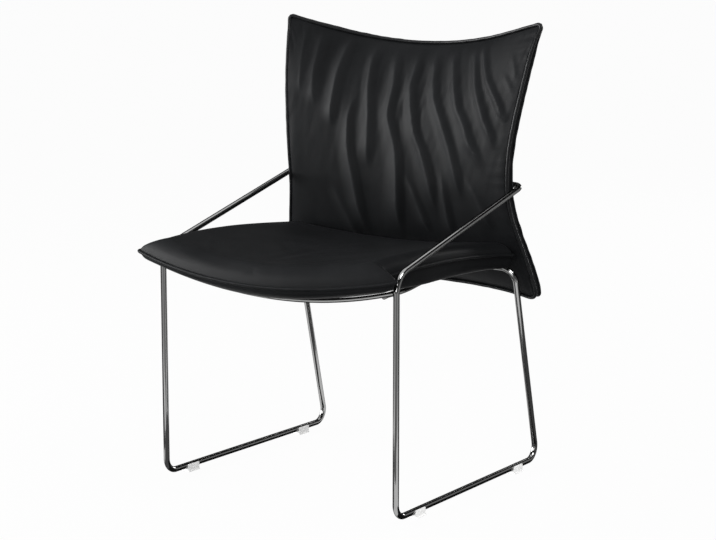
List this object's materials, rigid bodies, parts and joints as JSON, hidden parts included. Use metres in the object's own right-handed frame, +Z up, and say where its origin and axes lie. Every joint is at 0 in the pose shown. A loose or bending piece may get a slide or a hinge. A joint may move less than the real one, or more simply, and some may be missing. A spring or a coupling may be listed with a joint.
{
  "type": "lounge chair",
  "caption": "Lounge chair with separate black leather seat and back pads, a gathered back with flared corners, and a bright bent-rod sled frame with slim arms and clip-on glides.",
  "frame": {"origin": "on the floor, under the middle of the chair's box", "axes": "+Z up, the chair faces -Y; left (-X) and right (+X) are as a viewer in front sees them"},
  "size_m": [0.5674, 0.5672, 0.8349],
  "materials": {
    "bright_rod": "polished",
    "zinc_steel": "zinc plated",
    "black_leather": "soft, low sheen",
    "foam": "open-cell foam",
    "plywood": "raw plywood",
    "clear_glide": "milky, clear"
  },
  "bodies": {
    "root": {"left_side_rod": "bright_rod", "right_side_rod": "bright_rod", "back_bar": "bright_rod", "rear_seat_bar": "bright_rod", "front_seat_bar": "bright_rod", "left_seat_rail": "bright_rod", "right_seat_rail": "bright_rod", "front_left_glide": "clear_glide", "front_right_glide": "clear_glide", "rear_left_glide": "clear_glide", "rear_right_glide": "clear_glide", "seat_top_cover": "black_leather", "seat_bottom_cover": "black_leather", "seat_welt": "black_leather", "back_front_cover": "black_leather", "back_rear_cover": "black_leather", "back_front_welt": "black_leather", "back_rear_welt": "black_leather", "seat_foam": "foam", "back_foam": "foam", "seat_board": "plywood", "back_board": "plywood", "front_left_seat_tab": "zinc_steel", "front_right_seat_tab": "zinc_steel", "rear_left_seat_tab": "zinc_steel", "rear_right_seat_tab": "zinc_steel", "left_back_clamp": "zinc_steel", "right_back_clamp": "zinc_steel", "left_back_bracket": "zinc_steel", "right_back_bracket": "zinc_steel", "front_left_seat_screw": "zinc_steel", "front_right_seat_screw": "zinc_steel", "rear_left_seat_screw": "zinc_steel", "rear_right_seat_screw": "zinc_steel", "left_upper_clamp_screw": "zinc_steel", "left_lower_clamp_screw": "zinc_steel", "right_upper_clamp_screw": "zinc_steel", "right_lower_clamp_screw": "zinc_steel", "left_back_bracket_screw": "zinc_steel", "right_back_bracket_screw": "zinc_steel"}
  },
  "joints": []
}
